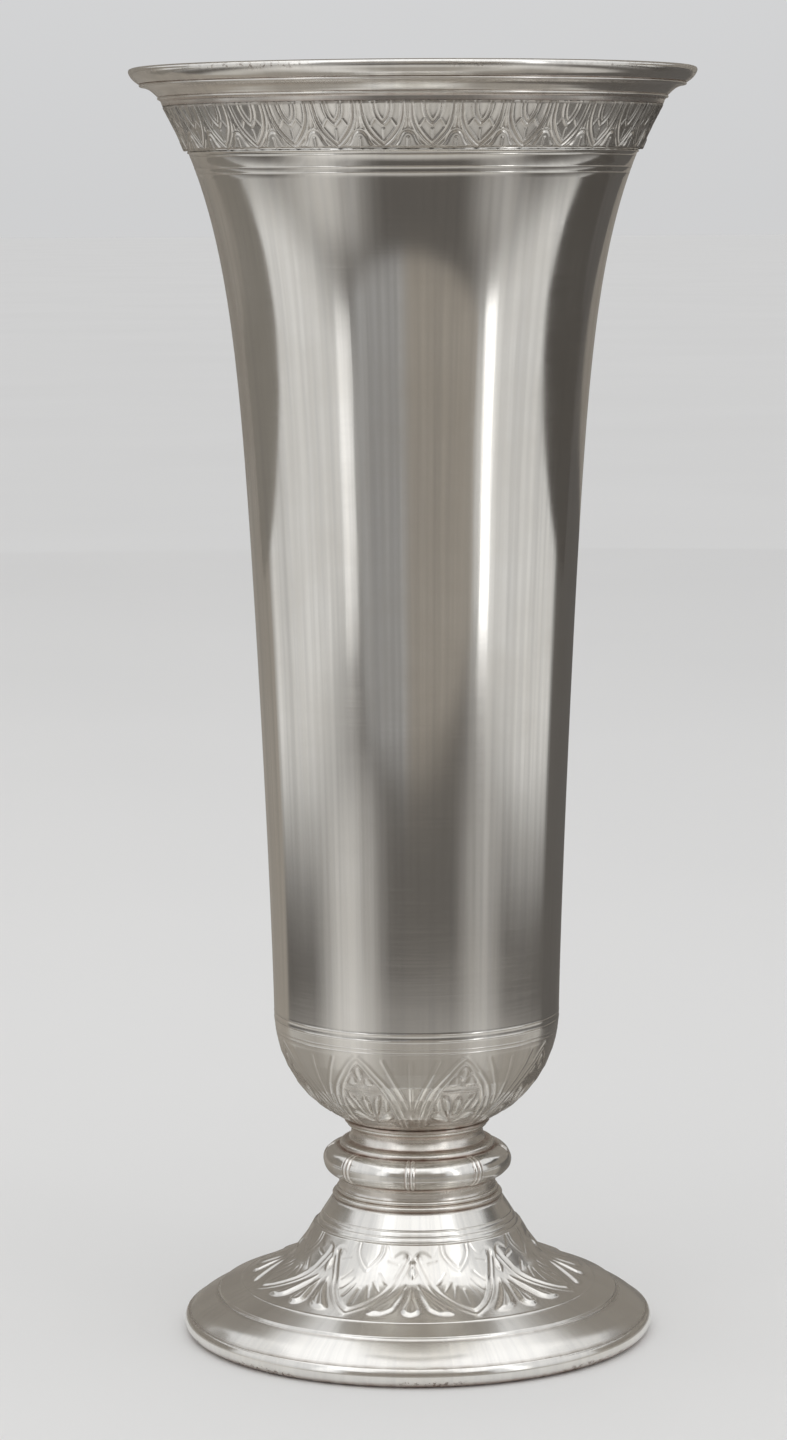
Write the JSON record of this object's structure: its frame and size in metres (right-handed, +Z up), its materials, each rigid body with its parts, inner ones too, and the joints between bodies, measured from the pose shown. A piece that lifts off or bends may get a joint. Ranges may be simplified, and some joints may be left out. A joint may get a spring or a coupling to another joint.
{
  "type": "pedestal vase",
  "caption": "Tall trumpet vase in polished silver with a rolled rim, a leaf band, a chased cup, a knopped stem and a hollow bell foot, held together by a stud and nut inside the foot.",
  "frame": {"origin": "on the vase's axis, in the plane of the base ring's flat underside", "axes": "+Z up along the vase's axis; -Y is the side the picture shows, with the ornament's blossoms in line with it"},
  "size_m": [0.176, 0.176, 0.4],
  "materials": {
    "polished_silver": "polished",
    "bright_silver": "polished",
    "chased_silver": "polished",
    "brass": "satin",
    "steel": "satin"
  },
  "bodies": {
    "root": {"rim_moulding": "bright_silver", "leaf_frieze": "chased_silver", "trumpet_body": "polished_silver", "cup": "chased_silver", "neck_collar": "bright_silver", "knop_upper_half": "bright_silver", "knop_lower_half": "bright_silver", "foot_collar": "bright_silver", "foot_bell": "chased_silver", "foot_wire": "bright_silver", "stud_boss": "brass", "tie_stud": "brass", "clamp_plate": "brass", "lock_washer": "steel", "hex_nut": "brass"}
  },
  "joints": []
}
